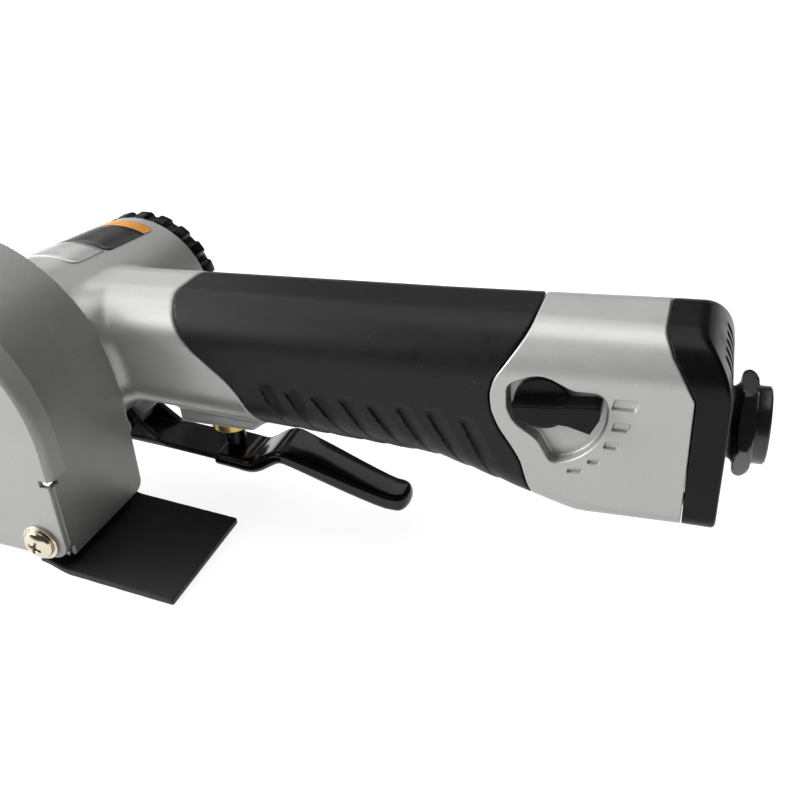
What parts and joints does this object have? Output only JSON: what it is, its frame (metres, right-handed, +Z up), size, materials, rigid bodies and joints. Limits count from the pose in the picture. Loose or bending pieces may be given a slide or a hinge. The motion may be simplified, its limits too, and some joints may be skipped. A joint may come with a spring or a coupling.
{
  "type": "air belt sander",
  "caption": "Hand-held air-driven belt sander: a guarded narrow belt, a cross-mounted air motor, a rubber-gripped handle with throttle lever, air regulator and rear air inlet.",
  "frame": {"origin": "middle of the sanding face, on the outer face of the belt's flat lower run", "axes": "+X from the nose roller towards the air inlet, +Y from the belt side towards the motor's free end, +Z up away from the work"},
  "size_m": [0.3154, 0.101, 0.082],
  "materials": {
    "cast_silver": "satin silver paint over die-cast aluminium",
    "grip_rubber": "satin moulded rubber",
    "black_plastic": "moulded black plastic",
    "gloss_black": "gloss dipped vinyl",
    "black_steel": "blackened steel",
    "steel": "machined steel",
    "nickel": "bright nickel plate",
    "brass": "machined brass",
    "guard_grey": "grey hammered paint over sheet steel",
    "cover_grey": "light grey paint over sheet steel",
    "plate_silver": "brushed foil plate",
    "plate_black": "printed film",
    "orange_film": "printed film",
    "aluminium": "turned aluminium",
    "flap_rubber": "flat rubber sheet",
    "tyre_rubber": "ground rubber",
    "vane_resin": "cloth-filled resin",
    "felt": "felt",
    "graphite": "graphite-faced canvas",
    "abrasive": "coated abrasive cloth"
  },
  "bodies": {
    "housing": {"handle_casting": "cast_silver", "rubber_grip": "grip_rubber", "rear_cap": "black_plastic", "cap_screws": "steel", "inlet_bushing": "black_steel", "inlet_screen": "steel", "exhaust_felt": "felt", "info_plate": "plate_black", "info_band": "orange_film", "rating_plate": "plate_silver", "valve_bushing": "brass", "valve_spring": "steel", "lever_pin": "steel", "cylinder_liner": "steel", "front_end_plate": "steel", "rear_end_plate": "steel", "front_bearing": "steel", "rear_bearing": "steel", "end_ring": "black_plastic", "back_plate": "guard_grey", "mount_screws": "steel", "belt_carrier": "aluminium", "carrier_screws": "steel", "rear_axle": "steel", "tension_spring": "steel", "platen": "steel", "graphite_pad": "graphite", "abrasive_belt": "abrasive", "guard_shell": "guard_grey", "guard_cover": "cover_grey", "tie_posts": "steel", "cover_screws": "nickel", "dust_flap": "flap_rubber", "flap_clamp": "steel"},
    "lever": {"throttle_lever": "black_steel", "lever_sleeve": "gloss_black"},
    "valve": {"valve_stem": "black_plastic", "valve_seal": "tyre_rubber"},
    "regulator": {"regulator_drum": "brass", "regulator_knob": "black_plastic", "knob_screw": "black_steel"},
    "rotor": {"motor_rotor": "steel", "rotor_vanes": "vane_resin", "drive_pulley": "black_plastic", "pulley_nut": "steel"},
    "rear_roller": {"rear_roller": "aluminium"},
    "yoke": {"nose_yoke": "aluminium", "nose_axle": "steel"},
    "nose_roller": {"nose_hub": "aluminium", "nose_tyre": "tyre_rubber"},
    "tracking": {"tracking_knob": "black_plastic"}
  },
  "joints": [
    {"name": "lever_hinge", "type": "hinge", "parent": "housing", "child": "lever", "pos_m": [0.08092, 0.0346, 0.01999], "axis": [0, -1, 0], "range_deg": [0, 10], "stiffness_Nm_per_rad": 0.9, "springref_deg": -34.38, "deforming": ["valve_spring"]},
    {"name": "valve_slide", "type": "slide", "parent": "housing", "child": "valve", "axis": [-0.0523, 0, 0.9986], "range_m": [0, 0.0062], "deforming": ["valve_spring"]},
    {"name": "regulator_turn", "type": "hinge", "parent": "housing", "child": "regulator", "pos_m": [0.20415, 0.0176, 0.05508], "axis": [0, 1, 0], "range_deg": [0, 60]},
    {"name": "motor_spin", "type": "hinge", "parent": "housing", "child": "rotor", "pos_m": [0.064, 0, 0.0423], "axis": [0, 1, 0], "continuous": true},
    {"name": "rear_roller_spin", "type": "hinge", "parent": "housing", "child": "rear_roller", "pos_m": [0.0475, 0, 0.00985], "axis": [0, 1, 0], "continuous": true},
    {"name": "yoke_slide", "type": "slide", "parent": "housing", "child": "yoke", "axis": [1, 0, 0], "range_m": [0, 0.008], "stiffness_N_per_m": 2500, "springref_m": -0.012, "deforming": ["tension_spring"]},
    {"name": "nose_spin", "type": "hinge", "parent": "yoke", "child": "nose_roller", "pos_m": [-0.0475, 0, 0.01485], "axis": [0, 1, 0], "continuous": true},
    {"name": "tracking_turn", "type": "hinge", "parent": "yoke", "child": "tracking", "pos_m": [-0.036, 0.018, 0.01485], "axis": [0, 1, 0], "range_deg": [-180, 180]}
  ],
  "couplings": [
    {"joint": "valve_slide", "follows": "lever_hinge", "m_per_rad": 0.0341},
    {"joint": "rear_roller_spin", "follows": "motor_spin", "ratio": 1.7778},
    {"joint": "nose_spin", "follows": "motor_spin", "ratio": 1.1429}
  ]
}
